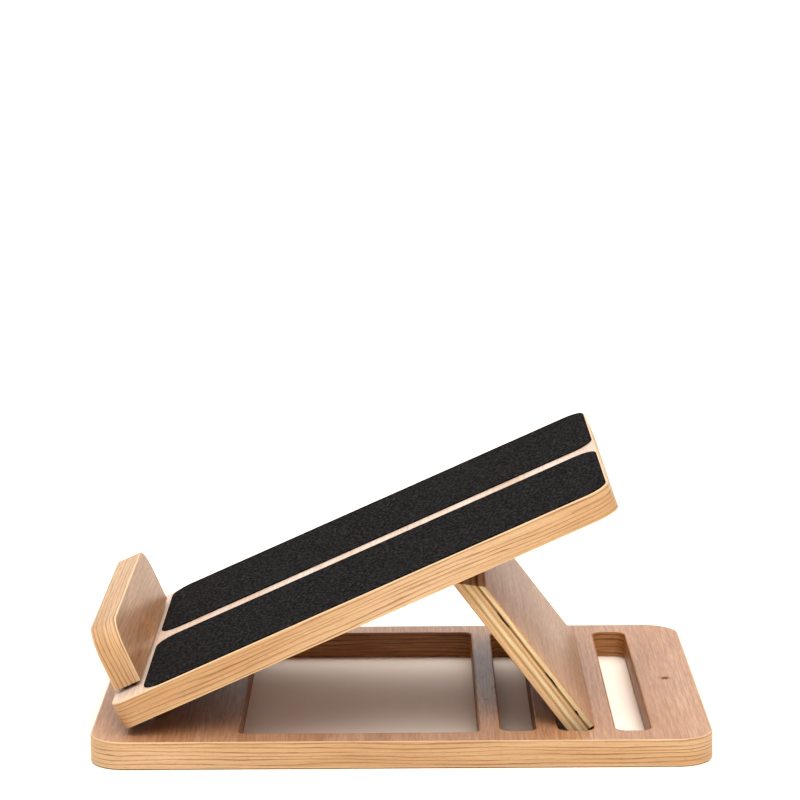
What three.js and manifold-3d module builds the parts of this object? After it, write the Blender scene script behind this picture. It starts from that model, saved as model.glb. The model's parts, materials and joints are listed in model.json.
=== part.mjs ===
// A wooden slant board: a base with three locking slots, a tilting foot platform with a heel stop,
// and a folding plywood prop whose square-cut foot drops into a slot to set the tilt.
// Millimetres, +Z up, +X from the heel end to the high end, +Y to the left of somebody standing
// on the board. The origin is the centre of the base's underside.
import * as THREE from "three";
import { mergeVertices } from "three/addons/utils/BufferGeometryUtils.js";
import Module from "manifold-3d";

const wasm = await Module();
wasm.setup();

// ---- Driving dimensions --------------------------------------------------------------------

const BOARD_THICK = 18; // base, platform and heel stop
const BAND = 1; // thickness of the edge banding
const GLUE = 0.05; // glue line between two laminated pieces
const BAND_LIFT = 0.5; // the base's band stops this far above the floor
const ARC_STEPS = 8; // facets in a quarter turn of an outline
const ROUND_STEPS = 16; // facets round a knuckle or a bore
const SCREW_STEPS = 12; // facets round a screw or a pin

const BASE = { length: 400, width: 300, corner: 24 };
const WINDOW = { from: -105, to: 50, width: 260, corner: 6 }; // the folded prop stows in it
// The slots lie across the base. first is where the first begins, and pitch is from one to the next.
const SLOT = { width: 23, pitch: 37, length: 256, corner: 8, first: 64, count: 3 };
const PEG_HOLE = { x: 180, radius: 2.3, depth: 6 };

const TILT = 24; // degrees, with the prop in the middle slot
const PIVOT_X = -176; // the main hinge's axis
// setback is from the main hinge's axis to the platform's low end, which overhangs the axis.
const PLATFORM = { length: 347.5, width: 276, setback: -1.5, lowCorner: 10, highCorner: 16 };
// gap is between the two strips, margin is to the platform's edges and heelGap to the heel stop.
const STRIP = { thick: 1, gap: 21, margin: 1, heelGap: 2.5, corner: 15 };
// height is from the platform to the crown, setback is from the platform's low end to the heel stop,
// and rise is how far the heel stop's foot stands off the platform, on rings round its screws.
const HEEL = { height: 44, width: 226, corner: 19, setback: 2, rise: 2.6 };
const HEEL_SPACER = { outer: 5, bore: 2.3 }; // radii

// axis is how far along the platform the prop's hinge is, lean is the prop's slope below level in
// degrees, and footGap is the clearance between its foot and the slot's rim.
const PROP = { thick: 16, width: 238, axis: 226, lean: 52.85, footGap: 0.4 };

// leaf is a leaf's reach from the axis. knuckle, bore and pin are radii.
const HINGE = { length: 50, leaf: 14, sheet: 1.2, knuckle: 2.5, bore: 1.3, pin: 1.2, parts: 5 };
const PIN_HEAD = { radius: 2.1, thick: 0.8, play: 0.1 };
const KNUCKLE_GAP = 0.3; // between neighbouring knuckles
const KNUCKLE_CLEAR = 0.4; // between a knuckle and the other leaf's plate
const MAIN_HINGE_Y = 70; // each pair of hinges sits at plus and minus this
const PROP_HINGE_Y = 80;

// shank and head are radii.
const SCREW = { shank: 1.25, head: 2.6, headDepth: 1.3, length: 10 };
const SCREW_PLAY = 0.1; // all round, between a screw and its hole
const LEAF_SCREW = { fromAxis: 8.5, spread: 15 }; // two in each leaf, at plus and minus the spread
const HEEL_SCREW = { shank: 2, head: 4, headDepth: 2.4, length: 40 };
const HEEL_SCREW_Y = [-103, 0, 103];

const OVERRUN = 1; // how far a cutting tool passes the face that it cuts through
const WELD = 1e-4; // vertices closer than this are one

// ---- Materials -----------------------------------------------------------------------------

const matt = (color, roughness, metalness = 0) =>
  new THREE.MeshStandardMaterial({ color, roughness, metalness });
const FACE_WOOD = matt(0xd8a070, 0.5);
const BAND_WOOD = matt(0xecbe91, 0.45);
const PLYWOOD = matt(0xd9b983, 0.65);
const GRIT = matt(0x262323, 0.95);
const ZINC = matt(0xb9bcc0, 0.35, 1);

// ---- Solids --------------------------------------------------------------------------------

// A closed geometry as a manifold-3d solid.
function solidOf(geometry) {
  const bare = geometry.clone();
  bare.deleteAttribute("normal");
  bare.deleteAttribute("uv");
  const merged = mergeVertices(bare, WELD);
  return new wasm.Manifold(
    new wasm.Mesh({
      numProp: 3,
      vertProperties: new Float32Array(merged.attributes.position.array),
      triVerts: new Uint32Array(merged.index.array),
    }),
  );
}

// A manifold-3d solid as a geometry.
function geometryOf(solid) {
  const mesh = solid.getMesh();
  return new THREE.BufferGeometry()
    .setAttribute("position", new THREE.BufferAttribute(mesh.vertProperties, 3))
    .setIndex(new THREE.BufferAttribute(mesh.triVerts, 1));
}

const without = (solid, tools) => tools.map(solidOf).reduce((left, tool) => left.subtract(tool), solid);

const cut = (geometry, tools) => geometryOf(without(solidOf(geometry), tools));

// An outline from x0 to x1 and y0 to y1. The corners at x0 and at x1 each have their own radius.
function outline(x0, x1, y0, y1, r0, r1 = r0, Kind = THREE.Shape) {
  const path = new Kind();
  path.absarc(x1 - r1, y0 + r1, r1, -Math.PI / 2, 0);
  path.absarc(x1 - r1, y1 - r1, r1, 0, Math.PI / 2);
  path.absarc(x0 + r0, y1 - r0, r0, Math.PI / 2, Math.PI);
  path.absarc(x0 + r0, y0 + r0, r0, Math.PI, Math.PI * 1.5);
  path.closePath();
  return path;
}

const hole = (x0, x1, y0, y1, r0, r1) => outline(x0, x1, y0, y1, r0, r1, THREE.Path);

const slab = (shape, thick, z) =>
  new THREE.ExtrudeGeometry(shape, {
    depth: thick,
    bevelEnabled: false,
    curveSegments: ARC_STEPS,
  }).translate(0, 0, z);

const box = (x0, x1, y0, y1, z0, z1) =>
  new THREE.BoxGeometry(x1 - x0, y1 - y0, z1 - z0).translate((x0 + x1) / 2, (y0 + y1) / 2, (z0 + z1) / 2);

// A round bar along Y.
const bar = (radius, y0, y1) =>
  new THREE.CylinderGeometry(radius, radius, y1 - y0, ROUND_STEPS).translate(0, (y0 + y1) / 2, 0);

// A countersunk screw with its head's face at z = 0 and its tip pointing up. grown widens it all
// round, for the hole that it sits in.
function screwBody(kind, grown = 0) {
  const profile = [
    new THREE.Vector2(0, -grown),
    new THREE.Vector2(kind.head + grown, -grown),
    new THREE.Vector2(kind.shank + grown, kind.headDepth),
    new THREE.Vector2(kind.shank + grown, kind.length + grown),
    new THREE.Vector2(0, kind.length + grown),
  ];
  return new THREE.LatheGeometry(profile, SCREW_STEPS).rotateX(Math.PI / 2);
}

// A ring that fills the gap under the heel stop, with its lower face at z = 0.
function spacerRing() {
  const { outer, bore } = HEEL_SPACER;
  const thick = HEEL.rise - 2 * GLUE;
  const profile = [
    new THREE.Vector2(bore, 0),
    new THREE.Vector2(outer, 0),
    new THREE.Vector2(outer, thick),
    new THREE.Vector2(bore, thick),
    new THREE.Vector2(bore, 0),
  ];
  return new THREE.LatheGeometry(profile, SCREW_STEPS).rotateX(Math.PI / 2);
}

// ---- Hinges --------------------------------------------------------------------------------

// Where a leaf's screws stand. A leaf lies on the wood at z = up * HINGE.knuckle and runs from
// its axis along reach * X, so up and reach are each 1 or -1.
const screwSpots = (reach, y) =>
  [-LEAF_SCREW.spread, LEAF_SCREW.spread].map((dy) => [reach * LEAF_SCREW.fromAxis, y + dy]);

function placedScrew(up, x, y, grown) {
  const body = screwBody(SCREW, grown);
  if (up < 0) body.rotateX(Math.PI);
  return body.translate(x, y, up * (HINGE.knuckle - HINGE.sheet));
}

// One leaf: a plate, with every second knuckle from first rolled round the pin.
function hingeLeaf(up, reach, y, first) {
  const { length, leaf, sheet, knuckle, bore, parts } = HINGE;
  const step = length / parts;
  const from = y - length / 2;
  const inner = up * (knuckle - sheet);
  const outer = up * knuckle;
  const plate = box(...sorted(0, reach * leaf), from, from + length, ...sorted(inner, outer));
  const own = [];
  const others = [];
  for (let i = 0; i < parts; i++) {
    const y0 = from + i * step;
    if (i % 2 === first) own.push(bar(knuckle, y0 + KNUCKLE_GAP / 2, y0 + step - KNUCKLE_GAP / 2));
    else others.push(bar(knuckle + KNUCKLE_CLEAR, y0 - KNUCKLE_GAP / 2, y0 + step + KNUCKLE_GAP / 2));
  }
  const tools = [bar(bore, from - OVERRUN, from + length + OVERRUN)];
  screwSpots(reach, y).forEach(([sx, sy]) => tools.push(placedScrew(up, sx, sy, SCREW_PLAY)));
  const open = without(solidOf(plate), others);
  const whole = own.map(solidOf).reduce((sum, piece) => sum.add(piece), open);
  return geometryOf(without(whole, tools));
}

function sorted(a, b) {
  return a < b ? [a, b] : [b, a];
}

// The pin, with a flat head at each end.
function hingePin(y) {
  const { radius, thick, play } = PIN_HEAD;
  const end = HINGE.length / 2 + play;
  const profile = [
    [0, -end - thick],
    [radius, -end - thick],
    [radius, -end],
    [HINGE.pin, -end],
    [HINGE.pin, end],
    [radius, end],
    [radius, end + thick],
    [0, end + thick],
  ].map(([r, along]) => new THREE.Vector2(r, along));
  return new THREE.LatheGeometry(profile, SCREW_STEPS).translate(0, y, 0);
}

const SIDES = [
  ["left", 1],
  ["right", -1],
];

// The tools that drill a board for one pair of leaves.
const pilotHoles = (up, reach, hingeY) =>
  SIDES.flatMap(([, sign]) =>
    screwSpots(reach, sign * hingeY).map(([x, y]) => placedScrew(up, x, y, SCREW_PLAY)),
  );

// ---- Building ------------------------------------------------------------------------------

function addMesh(group, name, geometry, material) {
  const mesh = new THREE.Mesh(geometry, material);
  mesh.name = name;
  group.add(mesh);
  return mesh;
}

// A pair of leaves with their screws, named after the hinge and the board that they hold.
function addLeaves(group, hinge, board, up, reach, hingeY, first) {
  for (const [side, sign] of SIDES) {
    const y = sign * hingeY;
    addMesh(group, `${hinge}_${side}_${board}_leaf`, hingeLeaf(up, reach, y, first), ZINC);
    screwSpots(reach, y).forEach(([sx, sy], i) =>
      addMesh(group, `${hinge}_${side}_${board}_screw_${i + 1}`, placedScrew(up, sx, sy, 0), ZINC),
    );
  }
}

function addPins(group, hinge, hingeY) {
  for (const [side, sign] of SIDES) addMesh(group, `${hinge}_${side}_pin`, hingePin(sign * hingeY), ZINC);
}

// The base: a banded board with a window, three slots across it and a small peg hole.
function makeBase() {
  const group = new THREE.Group();
  const x = BASE.length / 2;
  const y = BASE.width / 2;
  const core = outline(-x + BAND, x - BAND, -y + BAND, y - BAND, BASE.corner - BAND);
  core.holes.push(hole(WINDOW.from, WINDOW.to, -WINDOW.width / 2, WINDOW.width / 2, WINDOW.corner));
  for (let i = 0; i < SLOT.count; i++) {
    const from = SLOT.first + i * SLOT.pitch;
    core.holes.push(hole(from, from + SLOT.width, -SLOT.length / 2, SLOT.length / 2, SLOT.corner));
  }
  const { radius, depth } = PEG_HOLE;
  const peg = new THREE.CylinderGeometry(radius, radius, 2 * depth, ROUND_STEPS)
    .rotateX(Math.PI / 2)
    .translate(PEG_HOLE.x, 0, BOARD_THICK);
  const toHinge = (tool) => tool.translate(PIVOT_X, 0, BOARD_THICK + HINGE.knuckle);
  const drills = pilotHoles(-1, 1, MAIN_HINGE_Y).map(toHinge);
  addMesh(group, "base_board", cut(slab(core, BOARD_THICK, 0), [peg, ...drills]), FACE_WOOD);

  const ring = outline(-x, x, -y, y, BASE.corner);
  const inset = BAND - GLUE;
  ring.holes.push(hole(-x + inset, x - inset, -y + inset, y - inset, BASE.corner - inset));
  addMesh(group, "base_edge_band", slab(ring, BOARD_THICK - BAND_LIFT, BAND_LIFT), BAND_WOOD);

  const hinges = new THREE.Group();
  hinges.position.set(PIVOT_X, 0, BOARD_THICK + HINGE.knuckle);
  addLeaves(hinges, "main_hinge", "base", -1, 1, MAIN_HINGE_Y, 0);
  addPins(hinges, "main_hinge", MAIN_HINGE_Y);
  group.add(hinges);
  return group;
}

// The platform, in a frame whose origin is the main hinge's axis: X runs up along the platform
// and Z is square to it, so the underside is at z = HINGE.knuckle.
function makePlatform() {
  const group = new THREE.Group();
  const x0 = PLATFORM.setback;
  const x1 = x0 + PLATFORM.length;
  const y = PLATFORM.width / 2;
  const under = HINGE.knuckle;
  const top = under + BOARD_THICK;
  const { lowCorner, highCorner } = PLATFORM;

  const heelFrom = x0 + HEEL.setback;
  const heelMiddle = heelFrom + BOARD_THICK / 2;
  const heelScrews = (grown) =>
    HEEL_SCREW_Y.map((screwY) => screwBody(HEEL_SCREW, grown).translate(heelMiddle, screwY, under));

  const propPilots = pilotHoles(1, -1, PROP_HINGE_Y).map((tool) => tool.translate(PROP.axis, 0, 0));
  const core = outline(x0 + BAND, x1 - BAND, -y + BAND, y - BAND, lowCorner - BAND, highCorner - BAND);
  const drills = [...pilotHoles(1, 1, MAIN_HINGE_Y), ...propPilots, ...heelScrews(SCREW_PLAY)];
  addMesh(group, "platform_board", cut(slab(core, BOARD_THICK, under), drills), FACE_WOOD);

  const ring = outline(x0, x1, -y, y, lowCorner, highCorner);
  const inset = BAND - GLUE;
  ring.holes.push(
    hole(x0 + inset, x1 - inset, -y + inset, y - inset, lowCorner - inset, highCorner - inset),
  );
  addMesh(group, "platform_edge_band", slab(ring, BOARD_THICK, under), BAND_WOOD);

  for (const [side, sign] of SIDES) {
    const [y0, y1] = sorted((sign * STRIP.gap) / 2, sign * (y - STRIP.margin));
    const from = heelFrom + BOARD_THICK + STRIP.heelGap;
    const strip = outline(from, x1 - STRIP.margin, y0, y1, STRIP.corner);
    addMesh(group, `grip_strip_${side}`, slab(strip, STRIP.thick, top + GLUE), GRIT);
  }

  addHeelStop(group, heelFrom, top, heelScrews(SCREW_PLAY));
  heelScrews(0).forEach((body, i) => addMesh(group, `heel_stop_screw_${i + 1}`, body, ZINC));
  HEEL_SCREW_Y.forEach((screwY, i) => {
    const spacer = spacerRing().translate(heelMiddle, screwY, top + GLUE);
    addMesh(group, `heel_stop_spacer_${i + 1}`, spacer, ZINC);
  });
  addLeaves(group, "main_hinge", "platform", 1, 1, MAIN_HINGE_Y, 1);

  const propHinges = new THREE.Group();
  propHinges.position.x = PROP.axis;
  addLeaves(propHinges, "prop_hinge", "platform", 1, -1, PROP_HINGE_Y, 0);
  group.add(propHinges);
  return group;
}

// The heel stop stands on edge across the platform's low end, banded over its ends and top. Its
// foot is held just clear of the platform.
function addHeelStop(group, x0, top, drills) {
  const { height, width, corner, rise } = HEEL;
  const half = width / 2;
  const foot = top + rise;
  const crown = top + height;

  // An inverted U, inset from the finished outline, from its foot at plus Y to the one at minus Y.
  const archway = (inset) => {
    const r = corner - inset;
    const side = half - inset;
    const shoulder = crown - corner;
    const path = new THREE.Shape();
    path.moveTo(side, foot);
    path.lineTo(side, shoulder);
    path.absarc(side - r, shoulder, r, 0, Math.PI / 2);
    path.absarc(-side + r, shoulder, r, Math.PI / 2, Math.PI);
    path.lineTo(-side, foot);
    return path;
  };
  const standing = (shape) =>
    new THREE.ExtrudeGeometry(shape, {
      depth: BOARD_THICK,
      bevelEnabled: false,
      curveSegments: ARC_STEPS,
    })
      .rotateX(Math.PI / 2)
      .rotateZ(Math.PI / 2)
      .translate(x0, 0, 0);

  addMesh(group, "heel_stop", cut(standing(archway(BAND)), drills), FACE_WOOD);

  const inside = archway(BAND - GLUE).getPoints(ARC_STEPS).reverse();
  const band = new THREE.Shape([...archway(0).getPoints(ARC_STEPS), ...inside]);
  addMesh(group, "heel_stop_edge_band", standing(band), BAND_WOOD);
}

// The prop, in a frame whose origin is its hinge's axis: X runs down the prop to its foot, and
// the face that folds against the platform is at z = HINGE.knuckle. The other face's top corner
// is cut away at 45 degrees, which lets the prop open past square.
function makeProp(length) {
  const group = new THREE.Group();
  const near = HINGE.knuckle;
  const side = new THREE.Shape();
  side.moveTo(0, near);
  side.lineTo(length, near);
  side.lineTo(length, near + PROP.thick);
  side.lineTo(PROP.thick, near + PROP.thick);
  side.closePath();
  const board = new THREE.ExtrudeGeometry(side, { depth: PROP.width, bevelEnabled: false })
    .rotateX(Math.PI / 2)
    .translate(0, PROP.width / 2, 0);
  addMesh(group, "prop_board", cut(board, pilotHoles(1, 1, PROP_HINGE_Y)), PLYWOOD);
  addLeaves(group, "prop_hinge", "prop", 1, 1, PROP_HINGE_Y, 1);
  addPins(group, "prop_hinge", PROP_HINGE_Y);
  return group;
}

// The prop's length: from its hinge to the middle slot's far rim, measured along the prop.
function propLength() {
  const tilt = THREE.MathUtils.degToRad(TILT);
  const lean = THREE.MathUtils.degToRad(PROP.lean);
  const axisX = PIVOT_X + PROP.axis * Math.cos(tilt);
  const axisZ = BOARD_THICK + HINGE.knuckle + PROP.axis * Math.sin(tilt);
  const rimX = SLOT.first + SLOT.pitch + SLOT.width;
  const along = (rimX - axisX) * Math.cos(lean) + (axisZ - BOARD_THICK) * Math.sin(lean);
  return along - PROP.footGap;
}

const slantBoard = new THREE.Group();
slantBoard.add(makeBase());

const platform = makePlatform();
platform.position.set(PIVOT_X, 0, BOARD_THICK + HINGE.knuckle);
platform.rotation.y = -THREE.MathUtils.degToRad(TILT);
slantBoard.add(platform);

const prop = makeProp(propLength());
prop.position.x = PROP.axis;
prop.rotation.y = THREE.MathUtils.degToRad(TILT + PROP.lean);
platform.add(prop);

export default slantBoard;
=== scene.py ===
"""The looks of a wooden slant board: banded boards with rounded arrises, grit strips, a plywood
prop with its plies and voids, and rolled zinc hinges. Metres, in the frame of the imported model."""
import json
import math

import bmesh
import bpy
from mathutils import Matrix, Vector


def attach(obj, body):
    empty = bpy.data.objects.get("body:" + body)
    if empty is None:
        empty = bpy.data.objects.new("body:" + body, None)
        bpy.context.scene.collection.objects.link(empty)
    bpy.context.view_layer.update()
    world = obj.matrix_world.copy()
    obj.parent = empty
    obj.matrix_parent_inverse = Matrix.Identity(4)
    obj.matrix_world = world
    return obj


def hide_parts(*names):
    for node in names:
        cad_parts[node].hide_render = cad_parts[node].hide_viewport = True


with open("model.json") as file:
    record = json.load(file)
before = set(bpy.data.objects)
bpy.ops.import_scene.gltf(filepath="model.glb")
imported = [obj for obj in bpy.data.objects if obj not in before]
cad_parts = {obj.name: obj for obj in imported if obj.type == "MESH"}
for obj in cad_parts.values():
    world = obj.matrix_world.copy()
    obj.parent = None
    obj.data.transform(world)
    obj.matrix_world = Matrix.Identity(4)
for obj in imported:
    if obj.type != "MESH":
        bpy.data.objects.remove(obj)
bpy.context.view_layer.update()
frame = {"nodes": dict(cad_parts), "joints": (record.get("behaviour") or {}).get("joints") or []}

# ---- Spaces ---------------------------------------------------------------------------------

joints = {joint["name"]: joint for joint in frame["joints"]}
TILT_AXIS = Vector(joints["platform_tilt"]["pos_m"])
FOLD_AXIS = Vector(joints["prop_fold"]["pos_m"])
TILT = math.atan2(FOLD_AXIS.z - TILT_AXIS.z, FOLD_AXIS.x - TILT_AXIS.x)
LEAN = math.radians(52.85)  # the prop's slope below level

BASE_SPACE = Matrix.Identity(4)
PLATFORM_SPACE = Matrix.Translation(TILT_AXIS) @ Matrix.Rotation(-TILT, 4, "Y")
PROP_SPACE = Matrix.Translation(FOLD_AXIS) @ Matrix.Rotation(LEAN, 4, "Y")
BASE_HINGE_SPACE = Matrix.Translation(TILT_AXIS)
FOLD_ON_PLATFORM = Matrix.Translation(FOLD_AXIS) @ Matrix.Rotation(-TILT, 4, "Y")


def local_box(node, space):
    """The lowest and highest corners of a CAD node, measured in a space."""
    inverse = space.inverted()
    points = [inverse @ vertex.co for vertex in frame["nodes"][node].data.vertices]
    return [Vector([pick(p[i] for p in points) for i in range(3)]) for pick in (min, max)]


# ---- Sizes, in metres -----------------------------------------------------------------------

BAND = 0.001  # the edge banding's thickness
GLUE = 0.00005  # the glue line behind it
ARRIS = 0.0006  # rounding of the banding's outer edges
RIM = 0.0008  # rounding of the rims of the window and slots
SUPPORT = 0.0003  # a flat strip beside a rounding, which keeps the face beyond it flat
ARC_STEPS = 14  # pieces of a rounded corner
ROUND_STEPS = 4  # pieces of a rounded edge
TURNED_STEPS = 24  # pieces round a pin, a screw, a ring or a drilled hole
SHARP_ANGLE = math.radians(35)  # edges that turn by more than this stay crisp

BASE_CORNER = 0.024
WINDOW = {"from": -0.105, "to": 0.050, "half": 0.130, "corner": 0.006}
SLOT = {"width": 0.023, "pitch": 0.037, "half": 0.128, "corner": 0.008, "first": 0.064, "count": 3}
PEG_HOLE = {"x": 0.180, "radius": 0.0023, "depth": 0.006, "rim": 0.0003}
PLATFORM_CORNERS = (0.010, 0.016)  # at the low end and at the high end
STRIP_CORNER = 0.015
STRIP_ARRIS = 0.0004
HEEL_CORNER = 0.019
SPACER = {"bore": 0.0023, "edge": 0.0002}
PROP_BEVEL = 0.016  # along the prop, at its hinge end
PROP_ARRIS = 0.0004
# Gaps in the inner plies at the sawn edges: (along, above the lower face, half length, half width).
NEAR_VOIDS = [
    (0.0400, 0.0114, 0.0072, 0.00055),
    (0.0905, 0.0120, 0.0070, 0.00060),
    (0.1178, 0.0119, 0.0024, 0.00070),
]
FAR_VOIDS = [(0.0300, 0.0046, 0.0050, 0.00055), (0.0760, 0.0116, 0.0085, 0.00050)]
VOID_DEPTH = 0.003
VOID_STEPS = 20
VOID_TAPER = ((1.0, 0.0), (0.85, 0.5), (0.6, 1.0))  # (size, depth) as shares, from the edge inwards
VOID_LOBES = 5  # ripples round a void's ragged outline
VOID_RAGGED = 0.25  # and how strong they are
FAR_GRAIN = 1.0  # moves the far edge's grain, so that it differs from the near edge's

HINGE = {"half": 0.025, "leaf": 0.014, "sheet": 0.0012, "knuckle": 0.0025, "bore": 0.0013}
KNUCKLES = 5
KNUCKLE_GAP = 0.0003
KNUCKLE_CLEAR = 0.0004
CURL_GAP = math.radians(28)  # how far the rolled sheet's end stops short of its own plate
LEAF_CORNER = 0.0015
LEAF_CORNER_STEPS = 6
HOLE_CLEAR = 0.0001  # room round a screw in its leaf, and round a pin in its knuckles
PIN_HEAD = 0.0008  # the thickness of a pin's head
DOME_ANGLES = (0.35, 0.70, 1.05, 1.40)
DOME_HEIGHT = 0.6  # of a full round's
LEAF_SCREW = {"from_axis": 0.0085, "spread": 0.015}
SCREW = {"shank": 0.00125, "head": 0.0026, "head_depth": 0.0013, "length": 0.010}
HEEL_SCREW = {"shank": 0.002, "head": 0.004, "head_depth": 0.0024, "length": 0.040}
HEAD_EDGE = 0.0001  # the broken edge of a screw's head
TIP = 0.25  # the blunt point's radius, as a share of the shank's
RECESS = {"size": 1.15, "width": 0.30}  # of the cross, as shares of the head's radius
RECESS_TAPER = ((1.0, 0.0), (0.72, 0.45), (0.35, 0.85))  # its (size, depth), as shares


# ---- Outlines -------------------------------------------------------------------------------


def rounded(corners, inset=0.0, steps=ARC_STEPS):
    """Points of an anticlockwise outline. Each corner is (u, v, radius), and the outline is
    moved inwards by inset. Every inset gives the same number of points."""
    points = []
    count = len(corners)
    for i, (u, v, radius) in enumerate(corners):
        here = Vector((u, v))
        before = (here - Vector(corners[i - 1][:2])).normalized()
        after = (Vector(corners[(i + 1) % count][:2]) - here).normalized()
        normal = Vector((-before.y, before.x))
        next_normal = Vector((-after.y, after.x))
        turn = math.atan2(before.x * after.y - before.y * after.x, before.dot(after))
        side = math.copysign(1, turn)
        mean = (normal + next_normal) / (1 + normal.dot(next_normal))
        if radius == 0:
            points.append(here + inset * mean)
            continue
        centre = here + side * radius * mean
        for step in range(steps + 1):
            swing = Matrix.Rotation(turn * step / steps, 2)
            points.append(centre + (inset - side * radius) * (swing @ normal))
    return points


def rectangle(u0, u1, v0, v1, near, far=None):
    """Corners of a rectangle, with one radius at u0 and another at u1."""
    far = near if far is None else far
    return [(u0, v0, near), (u1, v0, far), (u1, v1, far), (u0, v1, near)]


def circle(u, v, radius, steps=TURNED_STEPS):
    turn = 2 * math.pi / steps
    return [Vector((u + radius * math.cos(i * turn), v + radius * math.sin(i * turn))) for i in range(steps)]


def running_length(points, closed=True):
    """How far each point is along an outline, with the whole length last if it is closed."""
    ends = points[1:] + (points[:1] if closed else [])
    lengths = [0.0]
    for a, b in zip(points, ends):
        lengths.append(lengths[-1] + (b - a).length)
    return lengths


def quarter(radius, start, towards):
    """(inset, height) steps of a rounded edge, from start degrees, turning to towards degrees."""
    steps = [math.radians(start + (towards - start) * i / ROUND_STEPS) for i in range(ROUND_STEPS + 1)]
    return [(radius - radius * math.cos(a), radius * math.sin(a)) for a in steps]


# ---- Surfaces -------------------------------------------------------------------------------

FLAT = {
    "xyz": lambda u, v, w: Vector((u, v, w)),
    "yzx": lambda u, v, w: Vector((w, u, v)),
    "xzy": lambda u, v, w: Vector((u, w, v)),
}


class Surface:
    """A mesh being made in a space. Each face corner carries the grain's own coordinates:
    along the fibres, across them, and into the wood."""

    def __init__(self, space, axes="xyz", shift=(0.0, 0.0, 0.0)):
        self.bm = bmesh.new()
        self.grain = self.bm.loops.layers.float_vector.new("grain")
        self.space = space
        self.flat = FLAT[axes]
        self.shift = Vector(shift)
        self.local = {}

    def ring(self, points, w, axes=None):
        """Vertices at an outline's points, at height w. axes is for a ring that lies another way."""
        flat = FLAT[axes] if axes else self.flat
        made = []
        for u, v in points:
            vertex = self.bm.verts.new(self.space @ flat(u, v, w))
            self.local[vertex] = (u, v, w)
            made.append(vertex)
        return made

    def face(self, vertices, grain, material=0):
        made = self.bm.faces.new(vertices)
        made.material_index = material
        for loop, value in zip(made.loops, grain):
            loop[self.grain] = Vector(value) + self.shift

    def wall(self, rings, lengths, heights, material=0, closed=True):
        """Faces between rings of equal size, with the fibres running along the outline."""
        count = len(rings[0])
        for (low, low_w), (high, high_w) in zip(zip(rings, heights), zip(rings[1:], heights[1:])):
            for j in range(count if closed else count - 1):
                k = (j + 1) % count
                s, t = lengths[j], lengths[j + 1]
                corners = [(s, low_w, 0), (t, low_w, 0), (t, high_w, 0), (s, high_w, 0)]
                self.face([low[j], low[k], high[k], high[j]], corners, material)

    def cap(self, rings, grain_of, material=0):
        """Fills the flat area bounded by rings. grain_of turns (u, v, w) into the grain's axes."""
        edges = []
        for ring in rings:
            for a, b in zip(ring, ring[1:] + ring[:1]):
                edges.append(self.bm.edges.get((a, b)) or self.bm.edges.new((a, b)))
        filled = bmesh.ops.triangle_fill(self.bm, use_beauty=True, use_dissolve=False, edges=edges)
        for made in filled["geom"]:
            if isinstance(made, bmesh.types.BMFace):
                made.material_index = material
                for loop in made.loops:
                    loop[self.grain] = Vector(grain_of(*self.local[loop.vert])) + self.shift

    def finish(self, name, body, slot, materials, *nodes):
        """Makes the object, which rides on a body and stands for the CAD nodes named."""
        bmesh.ops.recalc_face_normals(self.bm, faces=self.bm.faces)
        mesh = bpy.data.meshes.new(name)
        self.bm.to_mesh(mesh)
        self.bm.free()
        for material in materials:
            mesh.materials.append(material)
        mesh.shade_smooth()
        mesh.set_sharp_from_angle(angle=SHARP_ANGLE)
        piece = bpy.data.objects.new(name, mesh)
        bpy.context.scene.collection.objects.link(piece)
        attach(piece, body)
        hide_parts(*nodes)


def profile_rings(surface, corners, profile, sign=1):
    """One ring for each (inset, height) of a profile. sign is -1 for a hole, which grows."""
    return [surface.ring(rounded(corners, sign * inset), w) for inset, w in profile]


def rim_profile(low, high, radius):
    """(growth, height) up the wall of a through hole, with both of its rims rounded."""
    edge = quarter(radius, 90, 0)
    lower = [(radius + SUPPORT, low)] + [(inset, low + radius - rise) for inset, rise in edge]
    return lower + [(inset, low + high - w) for inset, w in reversed(lower)]


def across(u, v, w):
    """Fibres along v, for a face seen from above."""
    return (v, u, w)


def lengthwise(u, v, w):
    """Fibres along u."""
    return (u, v, w)


# ---- Materials ------------------------------------------------------------------------------

FULL_LIGHT = 1.8  # how many times brighter than its own colour a surface in full light comes out
# The sizes of each material's marks: length along the fibres, and width across them.
WOOD_MARKS = {
    "tone": (0.22, 0.030),
    "streak": (0.040, 0.0015),
    "fibre": (0.016, 0.0006),
    "pore": (0.0045, 0.00038),
    "ragged": (0.004, 0.0012),
}
PLY_MARKS = {
    "wave": (0.035, 0.012),
    "ripple": (0.006, 0.004),
    "fuzz": (0.012, 0.00040),
    "streak": (0.030, 0.0016),
    "fleck": (0.0012, 0.0010),
    "saw": (0.0011, 0.016),
}
GRIT_MARKS = {"grain": (0.0022, 0.0022), "wear_and_highlight": (0.040, 0.040)}
ZINC_MARKS = {"cloud": (0.0031, 0.0031), "scratch": (0.0033, 0.00011)}


def colour(red, green, blue):
    """The surface colour that comes out as these 0 to 255 values in full light."""
    linear = []
    for value in (red / 255, green / 255, blue / 255):
        linear.append(value / 12.92 if value <= 0.04045 else ((value + 0.055) / 1.055) ** 2.4)
    return (*[value / FULL_LIGHT for value in linear], 1.0)


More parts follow.
